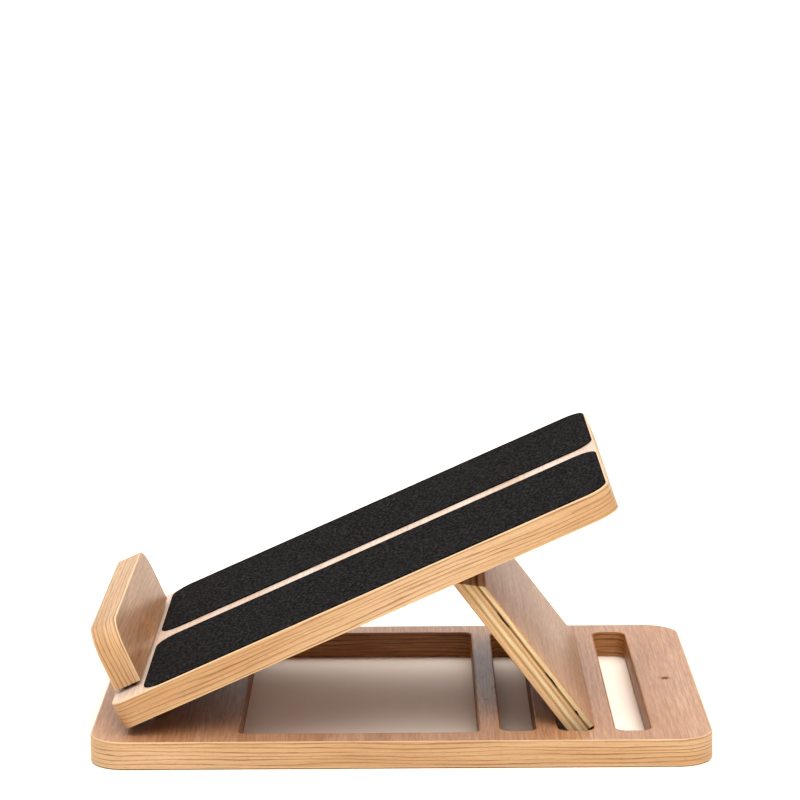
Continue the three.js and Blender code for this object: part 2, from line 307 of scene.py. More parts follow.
class Graph:
    """A material's node tree, with a Principled shader and short ways to add to it."""

    def __init__(self, name, **sockets):
        self.material = bpy.data.materials.new(name)
        self.material.use_nodes = True
        self.tree = self.material.node_tree
        self.shader = self.tree.nodes["Principled BSDF"]
        for socket, value in sockets.items():
            self.shader.inputs[socket.replace("_", " ")].default_value = value

    def node(self, kind, inputs=(), **settings):
        made = self.tree.nodes.new(kind)
        for setting, value in settings.items():
            setattr(made, setting, value)
        for socket, value in dict(inputs).items():
            self.feed(made.inputs[socket], value)
        return made

    def feed(self, socket, value):
        if isinstance(value, bpy.types.NodeSocket):
            self.tree.links.new(value, socket)
        else:
            socket.default_value = value

    def drive(self, socket, value):
        self.feed(self.shader.inputs[socket], value)

    def math(self, operation, a, b=0.0):
        return self.node("ShaderNodeMath", {0: a, 1: b}, operation=operation).outputs[0]

    def grain(self):
        """The grain's own coordinates, in metres."""
        return self.node("ShaderNodeAttribute", attribute_name="grain").outputs["Vector"]

    def axes(self):
        """How far a point is along the fibres, across them, and into the wood."""
        return self.node("ShaderNodeSeparateXYZ", {"Vector": self.grain()}).outputs

    def noise(self, length, width, detail=2.0, roughness=0.5):
        """Soft noise from 0 to 1 in spots of this length along the fibres and this width across."""
        stretched = self.node("ShaderNodeVectorMath", {0: self.grain()}, operation="MULTIPLY")
        stretched.inputs[1].default_value = (1 / length, 1 / width, 1 / width)
        inputs = {"Vector": stretched.outputs["Vector"], "Scale": 1.0}
        inputs |= {"Detail": detail, "Roughness": roughness}
        return self.node("ShaderNodeTexNoise", inputs).outputs["Fac"]

    def wander(self, length, width, amount, detail=2.0):
        """Noise that goes to about half of amount either way."""
        centred = self.math("SUBTRACT", self.noise(length, width, detail), 0.5)
        return self.math("MULTIPLY", centred, 2 * amount)

    def span(self, value, low, high, to_low=0.0, to_high=1.0):
        """value from low to high, brought to to_low to to_high with soft ends."""
        inputs = {0: value, 1: low, 2: high, 3: to_low, 4: to_high}
        return self.node("ShaderNodeMapRange", inputs, interpolation_type="SMOOTHSTEP").outputs[0]

    def ramp(self, value, stops):
        made = self.node("ShaderNodeValToRGB", {"Fac": value})
        elements = made.color_ramp.elements
        while len(elements) < len(stops):
            elements.new(0.5)
        for element, (position, shade) in zip(elements, stops):
            element.position = position
            element.color = shade
        return made.outputs["Color"]

    def mix(self, amount, a, b, blend="MIX"):
        made = self.node("ShaderNodeMix", data_type="RGBA", blend_type=blend)
        self.feed(made.inputs["Factor"], amount)
        self.feed(made.inputs["A"], a)
        self.feed(made.inputs["B"], b)
        return made.outputs["Result"]

    def darken(self, shade, by, amount, low=0.36, high=0.62):
        """shade, darkened by up to amount, with a warm cast, where the noise by is low."""
        cast = (1 - amount * 0.72, 1 - amount * 0.95, 1 - amount * 1.15, 1.0)
        return self.mix(1.0, shade, self.ramp(by, [(low, cast), (high, (1.0, 1.0, 1.0, 1.0))]), "MULTIPLY")

    def bump(self, height, strength, distance):
        inputs = {"Height": height, "Strength": strength, "Distance": distance}
        self.drive("Normal", self.node("ShaderNodeBump", inputs).outputs["Normal"])


def growth_lines(graph, spacing, sway, reach):
    """From 0 to 1, the dark late wood that ends each growth ring. The rings are about spacing
    apart and sway across the grain over a reach along it, so they close into long arches."""
    place = graph.math("ADD", graph.axes()["Y"], graph.wander(reach, 6 * spacing, sway, detail=1.0))
    place = graph.math("ADD", place, graph.wander(reach * 0.4, 1.3 * spacing, 0.55 * spacing))
    place = graph.math("ADD", place, graph.wander(reach * 0.08, spacing, 0.10 * spacing))
    phase = graph.math("FRACT", graph.math("DIVIDE", place, spacing))
    late = graph.math("MULTIPLY", graph.span(phase, 0.60, 0.93), graph.span(phase, 1.0, 0.95))
    return graph.math("MULTIPLY", late, graph.span(graph.noise(reach * 0.5, 2.2 * spacing), 0.34, 0.60, 0.45))


def spot(graph, along, over, radius, ragged):
    """From 0 to 1, inside a small ragged spot."""
    axes = graph.axes()
    dx = graph.math("SUBTRACT", axes["X"], along)
    dy = graph.math("SUBTRACT", axes["Y"], over)
    square = graph.math("ADD", graph.math("MULTIPLY", dx, dx), graph.math("MULTIPLY", dy, dy))
    away = graph.math("ADD", graph.math("SQRT", square), ragged)
    return graph.span(away, radius, radius * 0.3)


def wood(name, tones, line, rings, strength, streak, lacquer, marks=(), arris=None):
    """Lacquered or raw wood. tones run from dark to light and line is the late wood's colour.
    rings is (spacing, sway, reach) and strength is how strongly the lines show. streak is how
    much the fibres darken the wood. marks are knots as (along, across, radius, colour), and
    arris is the pale colour of a painted highlight on a band's rounded edges."""
    graph = Graph(name, Coat_Weight=lacquer, Coat_Roughness=0.30, Specular_IOR_Level=0.25)
    shade = graph.ramp(graph.noise(*WOOD_MARKS["tone"]), list(zip((0.34, 0.50, 0.66), tones)))
    lines = growth_lines(graph, *rings)
    shade = graph.mix(graph.math("MULTIPLY", lines, strength), shade, line)
    broad = graph.noise(*WOOD_MARKS["streak"], detail=3.0)
    fine = graph.noise(*WOOD_MARKS["fibre"])
    shade = graph.darken(shade, broad, streak, 0.42, 0.57)
    shade = graph.darken(shade, fine, streak * 0.8)
    pores = graph.noise(*WOOD_MARKS["pore"], detail=1.0)
    shade = graph.mix(graph.span(pores, 0.62, 0.72, 0.0, 0.45), shade, line)
    for along, over, radius, dark in marks:
        ragged = graph.wander(*WOOD_MARKS["ragged"], radius)
        shade = graph.mix(spot(graph, along, over, radius, ragged), shade, dark)
    # Painted highlight: the band's rounded outer edges are lightened, as where they catch the light.
    if arris:
        from_middle = graph.math("ABSOLUTE", graph.math("SUBTRACT", graph.axes()["Y"], BOARD / 2))
        wear_and_highlight = graph.span(from_middle, BOARD / 2 - 1.5 * ARRIS, BOARD / 2 - 0.7 * ARRIS)
        shade = graph.mix(wear_and_highlight, shade, arris)
    graph.drive("Base Color", shade)
    graph.drive("Roughness", graph.span(fine, 0.3, 0.7, 0.56, 0.44))
    relief = graph.math("SUBTRACT", fine, graph.math("MULTIPLY", lines, 0.5))
    graph.bump(relief, 0.30, 0.00010)
    return graph.material


def plywood_edge():
    """The sawn edge of the prop, with its plies stacked up along the second grain axis: cream
    where the fibres run along the edge, and olive brown where they are cut across."""
    graph = Graph("plywood_edge", Roughness=0.75, Specular_IOR_Level=0.25)
    depth = graph.math("ADD", graph.axes()["Y"], graph.wander(*PLY_MARKS["wave"], 0.0006))
    depth = graph.math("ADD", depth, graph.wander(*PLY_MARKS["ripple"], 0.00012))
    stops = [(where / PLY_STACK, shade) for where, shade in PLIES]
    shade = graph.ramp(graph.math("DIVIDE", depth, PLY_STACK), stops)
    fuzz = graph.noise(*PLY_MARKS["fuzz"], detail=4.0, roughness=0.65)
    shade = graph.darken(shade, fuzz, 0.24)
    shade = graph.darken(shade, graph.noise(*PLY_MARKS["streak"]), 0.20)
    flecks = graph.noise(*PLY_MARKS["fleck"], detail=1.0)
    shade = graph.darken(shade, flecks, 0.16, 0.30, 0.50)
    # Painted shade: the voids' walls and floors darken from 0.3 mm into them.
    inside = graph.span(graph.axes()["Z"], 0.0003, 0.0012)
    shade = graph.mix(inside, shade, PAINTED_VOID_SHADE)
    graph.drive("Base Color", shade)
    saw = graph.noise(*PLY_MARKS["saw"], detail=1.0)
    graph.bump(graph.math("ADD", fuzz, graph.math("MULTIPLY", saw, 0.35)), 0.7, 0.00022)
    return graph.material


def grit():
    """Black abrasive sheet: grains that catch the light over a matt ground."""
    graph = Graph("grit", Specular_IOR_Level=0.01)
    grains = graph.noise(*GRIT_MARKS["grain"], detail=3.0, roughness=0.75)
    wear_and_highlight = graph.noise(*GRIT_MARKS["wear_and_highlight"], detail=3.0)
    ground = graph.ramp(grains, list(zip((0.36, 0.50, 0.66), GRIT_TONES)))
    graph.drive("Base Color", graph.mix(graph.span(wear_and_highlight, 0.40, 0.75, 0.0, 0.20), ground, GRIT_WORN))
    graph.drive("Roughness", graph.span(grains, 0.35, 0.70, 1.0, 0.70))
    graph.bump(grains, 0.9, 0.00030)
    return graph.material


def zinc(name, light, dark, dullest=0.42):
    """Zinc plated steel, clouded and lightly scratched. dullest is its greatest roughness."""
    graph = Graph(name, Metallic=1.0)
    cloud = graph.noise(*ZINC_MARKS["cloud"], detail=3.0)
    graph.drive("Base Color", graph.ramp(cloud, [(0.32, dark), (0.68, light)]))
    graph.drive("Roughness", graph.span(cloud, 0.3, 0.7, dullest, dullest - 0.16))
    graph.bump(graph.noise(*ZINC_MARKS["scratch"]), 0.12, 0.00002)
    return graph.material


BOARD = local_box("base_board", BASE_SPACE)[1].z  # the thickness of every banded board

FACE_TONES = (colour(206, 146, 94), colour(218, 160, 112), colour(226, 173, 130))
FACE_LINE = colour(150, 92, 56)
# Painted light and sheen: a paler copy of the face wood's tones for the platform's top, which faces the
# light.
LIT_TREAD_TONES = (colour(236, 200, 170), colour(246, 216, 190), colour(254, 228, 206))
# Painted shade: a darker, more saturated copy of the face wood's tones for the platform's underside.
SHADED_UNDER_TONES = (colour(200, 116, 54), colour(212, 132, 68), colour(220, 146, 82))
BAND_TONES = (colour(214, 166, 114), colour(228, 184, 134), colour(236, 196, 150))
BAND_LINE = colour(142, 86, 42)
CUT_TONES = (colour(190, 122, 64), colour(212, 146, 84), colour(226, 166, 106))
CUT_LINE = colour(84, 44, 24)
# Painted highlight along the bands' rounded edges
ARRIS_HIGHLIGHT = colour(244, 206, 158)
PEG_HALO = (0.0, PEG_HOLE["x"], 0.0060, colour(120, 66, 40))
WEB_FLECK = (-0.052, 0.0565, 0.0016, colour(54, 28, 18))

TAN, OLIVE, CREAM = colour(234, 196, 148), colour(208, 166, 110), colour(255, 232, 186)
PALE, DULL, SEAM = colour(244, 208, 160), colour(190, 146, 90), colour(128, 90, 46)
PLY_STACK = 0.016
# How high each colour of the prop's edge lies above its lower face.
PLIES = [
    (0.0000, TAN), (0.0021, TAN), (0.0026, PALE), (0.0036, PALE), (0.0040, OLIVE), (0.0053, OLIVE),
    (0.0058, CREAM), (0.0074, CREAM), (0.0079, TAN), (0.0092, OLIVE), (0.0096, PALE), (0.0106, PALE),
    (0.0110, DULL), (0.0118, SEAM), (0.0124, DULL), (0.0129, CREAM), (0.0144, CREAM), (0.0149, TAN),
    (0.0160, PALE),
]
# Painted shade deep in the voids of the prop's sawn edges
PAINTED_VOID_SHADE = colour(46, 28, 14)
GRIT_TONES = (colour(10, 9, 10), colour(26, 24, 24), colour(60, 57, 57))
GRIT_WORN = colour(44, 40, 40)

FACE_RINGS = (0.0052, 0.007, 0.20)
BAND_RINGS = (0.0028, 0.0044, 0.16)
face_wood = wood("face_wood", FACE_TONES, FACE_LINE, FACE_RINGS, 0.34, 0.30, 0.40, [PEG_HALO, WEB_FLECK])
band_wood = wood("band_wood", BAND_TONES, BAND_LINE, BAND_RINGS, 0.80, 0.12, 0.15, arris=ARRIS_HIGHLIGHT)
# The platform's top: the face wood with paler tones, as painted light and sheen.
lit_tread_wood = wood("lit_tread_wood", LIT_TREAD_TONES, FACE_LINE, FACE_RINGS, 0.16, 0.16, 0.40)
# The platform's underside: the face wood with darker tones, as painted shade.
shaded_under_wood = wood("shaded_under_wood", SHADED_UNDER_TONES, FACE_LINE, FACE_RINGS, 0.34, 0.30, 0.10)
cut_wood = wood("cut_wood", CUT_TONES, CUT_LINE, (0.0034, 0.0030, 0.10), 0.70, 0.30, 0.05)
prop_face = wood("prop_face", FACE_TONES, FACE_LINE, (0.0080, 0.007, 0.20), 0.25, 0.24, 0.25)
ply_edge = plywood_edge()
grit_sheet = grit()
hinge_zinc = zinc("hinge_zinc", (0.62, 0.63, 0.66, 1.0), (0.34, 0.35, 0.38, 1.0))
screw_zinc = zinc("screw_zinc", (0.67, 0.66, 0.63, 1.0), (0.30, 0.29, 0.27, 1.0))
spacer_zinc = zinc("spacer_zinc", (0.10, 0.075, 0.055, 1.0), (0.045, 0.032, 0.024, 1.0), 0.75)


# ---- Banding --------------------------------------------------------------------------------


def band_section(low, high):
    """(inset, height) round a banding's section, with its two outer edges rounded."""
    inner = BAND - GLUE
    lower = [(inset, low + ARRIS - rise) for inset, rise in quarter(ARRIS, 90, 0)]
    upper = [(inset, high - ARRIS + rise) for inset, rise in quarter(ARRIS, 0, 90)]
    return [(inner, low), *lower, *upper, (inner, high)]


def closed_band(space, corners, low, high, shift):
    """Banding that goes all the way round an outline."""
    surface = Surface(space, shift=shift)
    section = band_section(low, high)
    rings = profile_rings(surface, corners, section)
    lengths = running_length(rounded(corners))
    heights = [w - low for _, w in section]
    surface.wall(rings + rings[:1], lengths, heights + heights[:1])
    return surface


# ---- The base -------------------------------------------------------------------------------


def add_through_hole(surface, corners, low, high):
    """Adds a through hole's wall and returns its ring in the lower face and in the upper one."""
    profile = rim_profile(low, high, RIM)
    rings = profile_rings(surface, corners, profile, sign=-1)
    lengths = running_length(rounded(corners))
    surface.wall(rings, lengths, [w for _, w in profile], material=1)
    return rings[0], rings[-1]


def add_peg_hole(surface, top):
    """Adds the blind peg hole and returns its ring in the upper face."""
    rim, radius = PEG_HOLE["rim"], PEG_HOLE["radius"]
    profile = [(SUPPORT + rim, top)] + [(inset, top - rim + rise) for inset, rise in quarter(rim, 90, 0)]
    profile.append((0.0, top - PEG_HOLE["depth"]))
    rings = [surface.ring(circle(PEG_HOLE["x"], 0.0, radius + grow), w) for grow, w in profile]
    lengths = running_length(circle(PEG_HOLE["x"], 0.0, radius))
    surface.wall(rings, lengths, [w for _, w in profile], material=1)
    surface.cap([rings[-1]], across, material=1)
    return rings[0]


def make_base():
    low, high = local_box("base_board", BASE_SPACE)
    core = rectangle(low.x, high.x, low.y, high.y, BASE_CORNER - BAND)
    surface = Surface(BASE_SPACE)
    points = rounded(core)
    outer = [surface.ring(points, low.z), surface.ring(points, high.z)]
    surface.wall(outer, running_length(points), [low.z, high.z], material=1)
    floors, tops = [outer[0]], [outer[1]]
    holes = [rectangle(WINDOW["from"], WINDOW["to"], -WINDOW["half"], WINDOW["half"], WINDOW["corner"])]
    for i in range(SLOT["count"]):
        start = SLOT["first"] + i * SLOT["pitch"]
        holes.append(rectangle(start, start + SLOT["width"], -SLOT["half"], SLOT["half"], SLOT["corner"]))
    for hole in holes:
        floor, top = add_through_hole(surface, hole, low.z, high.z)
        floors.append(floor)
        tops.append(top)
    tops.append(add_peg_hole(surface, high.z))
    surface.cap(floors, across)
    surface.cap(tops, across)
    surface.finish("fine_base_board", "base", "face_wood", [face_wood, cut_wood], "base_board")

    low, high = local_box("base_edge_band", BASE_SPACE)
    corners = rectangle(low.x, high.x, low.y, high.y, BASE_CORNER)
    band = closed_band(BASE_SPACE, corners, low.z, high.z, (0.31, 0.0, 0.0))
    band.finish("fine_base_edge_band", "base", "edge_band", [band_wood], "base_edge_band")


# ---- The platform ---------------------------------------------------------------------------


def make_platform():
    low, high = local_box("platform_board", PLATFORM_SPACE)
    near, far = PLATFORM_CORNERS
    core = rectangle(low.x, high.x, low.y, high.y, near - BAND, far - BAND)
    surface = Surface(PLATFORM_SPACE, shift=(0.0, 1.9, 0.0))
    points = rounded(core)
    outer = [surface.ring(points, low.z), surface.ring(points, high.z)]
    surface.wall(outer, running_length(points), [low.z, high.z], material=1)
    surface.cap([outer[0]], across, material=2)
    surface.cap([outer[1]], across)
    # The top takes a paler copy of the face wood as painted light, and the underside a darker copy as painted
    # shade.
    woods = [lit_tread_wood, cut_wood, shaded_under_wood]
    surface.finish("fine_platform_board", "platform", "face_wood", woods, "platform_board")

    low, high = local_box("platform_edge_band", PLATFORM_SPACE)
    corners = rectangle(low.x, high.x, low.y, high.y, near, far)
    band = closed_band(PLATFORM_SPACE, corners, low.z, high.z, (4.77, 0.0, 0.0))
    band.finish("fine_platform_edge_band", "platform", "edge_band", [band_wood], "platform_edge_band")

    for side in ("left", "right"):
        make_strip(side)


def make_strip(side):
    """An adhesive grit strip, with the upper edge of its sheet just broken."""
    node = f"grip_strip_{side}"
    low, high = local_box(node, PLATFORM_SPACE)
    corners = rectangle(low.x, high.x, low.y, high.y, STRIP_CORNER)
    edge = quarter(STRIP_ARRIS, 0, 90)
    profile = [(0.0, low.z)] + [(inset, high.z - STRIP_ARRIS + rise) for inset, rise in edge]
    profile.append((STRIP_ARRIS + SUPPORT, high.z))
    surface = Surface(PLATFORM_SPACE)
    rings = profile_rings(surface, corners, profile)
    surface.wall(rings, running_length(rounded(corners)), [w for _, w in profile])
    surface.cap([rings[0]], lengthwise)
    surface.cap([rings[-1]], lengthwise)
    surface.finish(f"fine_{node}", "platform", "grip", [grit_sheet], node)


# ---- The heel stop --------------------------------------------------------------------------


def arch(half, foot, crown, corner, inset):
    """The heel stop's outline from its right foot over the top to its left foot."""
    corners = [(-half, foot, 0), (half, foot, 0), (half, crown, corner), (-half, crown, corner)]
    points = rounded(corners, inset)
    points = points[1:] + points[:1]
    points[0].y = points[-1].y = foot
    return points


def make_heel_stop():
    low, high = local_box("heel_stop", PLATFORM_SPACE)
    surface = Surface(PLATFORM_SPACE, axes="yzx", shift=(0.7, 3.3, 0.0))
    points = arch(high.y, low.z, high.z, HEEL_CORNER - BAND, 0.0)
    faces = [surface.ring(points, low.x), surface.ring(points, high.x)]
    surface.wall(faces, running_length(points), [low.x, high.x], material=1)
    surface.cap([faces[0]], lengthwise)
    surface.cap([faces[1]], lengthwise)
    surface.finish("fine_heel_stop", "platform", "face_wood", [face_wood, cut_wood], "heel_stop")

    low, high = local_box("heel_stop_edge_band", PLATFORM_SPACE)
    surface = Surface(PLATFORM_SPACE, axes="yzx", shift=(7.13, 0.0, 0.0))
    section = band_section(low.x, high.x)
    rings = [surface.ring(arch(high.y, low.z, high.z, HEEL_CORNER, inset), w) for inset, w in section]
    lengths = running_length(arch(high.y, low.z, high.z, HEEL_CORNER, 0.0), closed=False)
    heights = [w - low.x for _, w in section]
    surface.wall(rings + rings[:1], lengths, heights + heights[:1], closed=False)
    for end in (0, -1):
        section_ring = [ring[end] for ring in rings]
        surface.face(section_ring, [(lengths[end], w, 0) for w in heights])
    surface.finish("fine_heel_stop_edge_band", "platform", "edge_band", [band_wood], "heel_stop_edge_band")


# ---- The prop -------------------------------------------------------------------------------


def make_prop():
    """The plywood prop. Its outline is the sawn edge seen from the side, and its faces are the
    walls of that outline."""
    low, high = local_box("prop_board", PROP_SPACE)
    small = PROP_ARRIS + SUPPORT
    corners = [
        (low.x, low.z, small),
        (high.x, low.z, small),
        (high.x, high.z, small),
        (low.x + PROP_BEVEL, high.z, small),
    ]
    surface = Surface(PROP_SPACE, axes="xzy")
    edge = quarter(PROP_ARRIS, 90, 0)
    lower = [(PROP_ARRIS + SUPPORT / 2, low.y)] + [(inset, low.y + PROP_ARRIS - rise) for inset, rise in edge]
    profile = lower + [(inset, low.y + high.y - w) for inset, w in reversed(lower)]
    rings = [surface.ring(rounded(corners, inset, ROUND_STEPS), w) for inset, w in profile]
    add_prop_faces(surface, rings, low)
    add_voids(surface, rings[0], low, 1, NEAR_VOIDS)
    add_voids(surface, rings[-1], low, -1, FAR_VOIDS)
    surface.finish("fine_prop_board", "prop", "plywood", [ply_edge, prop_face], "prop_board")


def add_prop_faces(surface, rings, low):
    """The walls round the prop. The two broad faces are veneer, and the sawn foot and the sawn
    bevel at the top show the plies."""
    count = len(rings[0])
    for ring_a, ring_b in zip(rings, rings[1:]):
        for j in range(count):
            k = (j + 1) % count
            corners = [ring_a[j], ring_a[k], ring_b[k], ring_b[j]]
            local = [surface.local[vertex] for vertex in corners]
            level = max(v for _, v, _ in local) - min(v for _, v, _ in local) < PROP_ARRIS
            if level:
                surface.face(corners, [(w, u, v) for u, v, w in local], material=1)
            else:
                surface.face(corners, [(w, v - low.z, 0.0) for u, v, w in local])


def add_voids(surface, outline, low, inwards, voids):
    """Fills one sawn edge of the prop, leaving the ragged slits where its inner plies have gaps."""
    slits = []
    face = surface.local[outline[0]][2]
    for along, height, half_length, half_width in voids:
        rings = []
        for shrink, share in VOID_TAPER:
            depth = VOID_DEPTH * share
            points = []
            for i in range(VOID_STEPS):
                turn = 2 * math.pi * i / VOID_STEPS
                ragged = shrink * (1 + VOID_RAGGED * math.sin(VOID_LOBES * turn + along / half_width))
                u = along + shrink * half_length * math.cos(turn)
                points.append(Vector((u, low.z + height + ragged * half_width * math.sin(turn))))
            rings.append((surface.ring(points, face + inwards * depth), depth))
        for (upper, a), (lower, b) in zip(rings, rings[1:]):
            for j in range(VOID_STEPS):
                k = (j + 1) % VOID_STEPS
                corners = [upper[j], upper[k], lower[k], lower[j]]
                places = [surface.local[vertex] for vertex in corners]
                grain = [(u, v - low.z, depth) for (u, v, _), depth in zip(places, (a, a, b, b))]
                surface.face(corners, grain)
        surface.cap([rings[-1][0]], lambda u, v, w: (u, v - low.z, VOID_DEPTH))
        slits.append(rings[0][0])
    moved = FAR_GRAIN if inwards < 0 else 0.0
    surface.cap([outline, *slits], lambda u, v, w: (u + moved, v - low.z, 0.0))


# ---- Hinges and screws ----------------------------------------------------------------------


def leaf_spots(reach, y):
    """Where a leaf's two screws stand, in the hinge's space."""
    return [(reach * LEAF_SCREW["from_axis"], y + dy) for dy in (-LEAF_SCREW["spread"], LEAF_SCREW["spread"])]


def add_plate(surface, up, reach, y):
    """The flat of a leaf, with two round outer corners and two countersunk holes."""
    clear = HINGE["knuckle"] + KNUCKLE_CLEAR
    u0, u1 = sorted((reach * clear, reach * HINGE["leaf"]))
    near, far = (0.0, LEAF_CORNER) if reach > 0 else (LEAF_CORNER, 0.0)
    corners = rectangle(u0, u1, y - HINGE["half"], y + HINGE["half"], near, far)
    inner = up * (HINGE["knuckle"] - HINGE["sheet"])
    outer = up * HINGE["knuckle"]
    points = rounded(corners, steps=LEAF_CORNER_STEPS)
    edges = [surface.ring(points, w) for w in (inner, outer)]
    surface.wall(edges, running_length(points), [inner, outer])
    caps = [[edges[0]], [edges[1]]]
    for u, v in leaf_spots(reach, y):
        wide = circle(u, v, SCREW["head"] + HOLE_CLEAR)
        narrow = circle(u, v, SCREW["shank"] + HOLE_CLEAR)
        hole = [surface.ring(wide, inner), surface.ring(narrow, outer)]
        surface.wall(hole, running_length(wide), [inner, outer])
        caps[0].append(hole[0])
        caps[1].append(hole[1])
    for rings in caps:
        surface.cap(rings, lengthwise)


def add_knuckle(surface, up, reach, y0, y1):
    """Sheet rolled round the pin: out from the plate, round the barrel and back to the plate."""
    clear = HINGE["knuckle"] + KNUCKLE_CLEAR
    outside, inside = HINGE["knuckle"], HINGE["bore"]
    curl = math.pi * 1.5 - CURL_GAP
    sweep = [-math.pi / 2 - curl * i / TURNED_STEPS for i in range(TURNED_STEPS + 1)]
    outer = [(outside * math.cos(a), outside * math.sin(a)) for a in sweep]
    inner = [(inside * math.cos(a), inside * math.sin(a)) for a in reversed(sweep)]
    section = [(clear, -outside), *outer, *inner, (clear, -inside)]
    points = [Vector((reach * u, -up * v)) for u, v in section]
    rings = [surface.ring(points, y, axes="xzy") for y in (y0, y1)]
    surface.wall(rings, running_length(points), [y0, y1])
    for ring in rings:
        surface.cap([ring], lengthwise)


def make_leaf(name, body, space, up, reach, y, first):
    """One leaf, with every second knuckle from first."""
    surface = Surface(space, shift=(y, 0.0, 0.0))
    add_plate(surface, up, reach, y)
    step = 2 * HINGE["half"] / KNUCKLES
    for i in range(first, KNUCKLES, 2):
        start = y - HINGE["half"] + i * step
        add_knuckle(surface, up, reach, start + KNUCKLE_GAP / 2, start + step - KNUCKLE_GAP / 2)
    surface.finish(f"fine_{name}", body, "hinges", [hinge_zinc], name)


def make_pin(name, body, space):
    """A pin with a low domed head at each end."""
    low, high = local_box(name, space)
    surface = Surface(space, axes="xzy")
    shank = HINGE["bore"] - HOLE_CLEAR
    head = high.x
    dome = [(head * math.sin(a), PIN_HEAD * (1 - math.cos(a))) for a in DOME_ANGLES]
    profile = [(radius, low.y + rise * DOME_HEIGHT) for radius, rise in dome]
    profile += [(head, low.y + PIN_HEAD), (shank, low.y + PIN_HEAD)]
    profile += [(radius, low.y + high.y - along) for radius, along in reversed(profile)]
    rings = [surface.ring(circle(0.0, 0.0, radius), along) for radius, along in profile]
    surface.wall(rings, running_length(circle(0.0, 0.0, head)), [along for _, along in profile])
    for ring in (rings[0], rings[-1]):
        surface.cap([ring], lengthwise)
    surface.finish(f"fine_{name}", body, "hinges", [hinge_zinc], name)


def cross(size, width):
    """Corners of a cross, anticlockwise, for a screw's recess."""
    a, b = width / 2, size / 2
    arm = [Vector((b, -a)), Vector((b, a)), Vector((a, a))]
    points = []
    for quarter_turns in range(4):
        for u, v in arm:
            for _ in range(quarter_turns):
                u, v = -v, u
            points.append(Vector((u, v)))
    return points


def make_screw(name, body, space, kind, x, y, face, up):
    """A countersunk screw with a cross recess. Its head's face is at height face, and the screw
    points along up."""
    surface = Surface(space, shift=(x, y, 0.0))
    head, head_depth, shank = kind["head"], kind["head_depth"], kind["shank"]
    shape = [
        (head - HEAD_EDGE, 0.0),
        (head, HEAD_EDGE),
        (shank, head_depth),
        (shank, kind["length"] - 2 * shank),
        (shank * TIP, kind["length"]),
    ]
    rings = [surface.ring(circle(x, y, radius), face + up * along) for radius, along in shape]
    lengths = running_length(circle(x, y, head))
    surface.wall(rings, lengths, [along for _, along in shape])
    surface.cap([rings[-1]], lengthwise)
    opening = cross(head * RECESS["size"], head * RECESS["width"])
    recess = []
    for shrink, depth in RECESS_TAPER:
        outline = [Vector((x, y)) + point * shrink for point in opening]
        recess.append(surface.ring(outline, face + up * depth * head_depth))
    surface.wall(recess, running_length(opening), [depth * head_depth for _, depth in RECESS_TAPER])
    surface.cap([recess[-1]], lengthwise)
    surface.cap([rings[0], recess[0]], lengthwise)
    surface.finish(f"fine_{name}", body, "screws", [screw_zinc], name)


def make_leaf_with_screws(hinge, side, board, body, space, up, reach, first):
    name = f"{hinge}_{side}_{board}"
    low, high = local_box(f"{name}_leaf", space)
    y = (low.y + high.y) / 2
    make_leaf(f"{name}_leaf", body, space, up, reach, y, first)
    face = up * (HINGE["knuckle"] - HINGE["sheet"])
    for i, (u, v) in enumerate(leaf_spots(reach, y)):
        make_screw(f"{name}_screw_{i + 1}", body, space, SCREW, u, v, face, up)


def make_hinges():
    for side in ("left", "right"):
        make_leaf_with_screws("main_hinge", side, "base", "base", BASE_HINGE_SPACE, -1, 1, 0)
        make_leaf_with_screws("main_hinge", side, "platform", "platform", PLATFORM_SPACE, 1, 1, 1)
        make_leaf_with_screws("prop_hinge", side, "platform", "platform", FOLD_ON_PLATFORM, 1, -1, 0)
        make_leaf_with_screws("prop_hinge", side, "prop", "prop", PROP_SPACE, 1, 1, 1)
        make_pin(f"main_hinge_{side}_pin", "base", BASE_HINGE_SPACE)
        make_pin(f"prop_hinge_{side}_pin", "prop", PROP_SPACE)


def make_heel_screws():
    for i in (1, 2, 3):
        name = f"heel_stop_screw_{i}"
        low, high = local_box(name, PLATFORM_SPACE)
        middle = (low + high) / 2
        make_screw(name, "platform", PLATFORM_SPACE, HEEL_SCREW, middle.x, middle.y, low.z, 1)


def make_heel_spacers():
    """Plain rings with broken edges, which hold the heel stop's foot off the platform."""
    bore, edge = SPACER["bore"], SPACER["edge"]
    for i in (1, 2, 3):
        name = f"heel_stop_spacer_{i}"
        low, high = local_box(name, PLATFORM_SPACE)
        middle = (low + high) / 2
        outer = high.y - middle.y
        profile = [(bore, low.z), (outer - edge, low.z), (outer, low.z + edge)]
        profile += [(radius, low.z + high.z - w) for radius, w in reversed(profile)]
        surface = Surface(PLATFORM_SPACE)
        rings = [surface.ring(circle(middle.x, middle.y, radius), w) for radius, w in profile]
        lengths = running_length(circle(middle.x, middle.y, outer))
        heights = [w for _, w in profile]
        surface.wall(rings + rings[:1], lengths, heights + heights[:1])
        surface.finish(f"fine_{name}", "platform", "screws", [spacer_zinc], name)


make_base()
make_platform()
make_heel_stop()
make_prop()
make_hinges()
make_heel_screws()
make_heel_spacers()

# ---- Floor, light and camera ----------------------------------------------------------------

FLOOR_HALF = 40.0
FLOOR_GAP = 0.0002  # how far the floor lies below the board's underside
FLOOR_COLOUR = (0.92, 0.82, 0.69, 1.0)  # a pale cream
SKY_LOW = 0.45  # the studio's brightness near the horizon
SKY_HIGH = 3.2  # and overhead
SKY_SPREAD = (0.40, 0.90)  # the sines of the elevations between which it changes
BACKDROP = 0.9  # how much brighter it is behind the board
BACKDROP_SPREAD = (0.88, 0.99)  # from nothing to all of that, by how nearly a direction is straight back
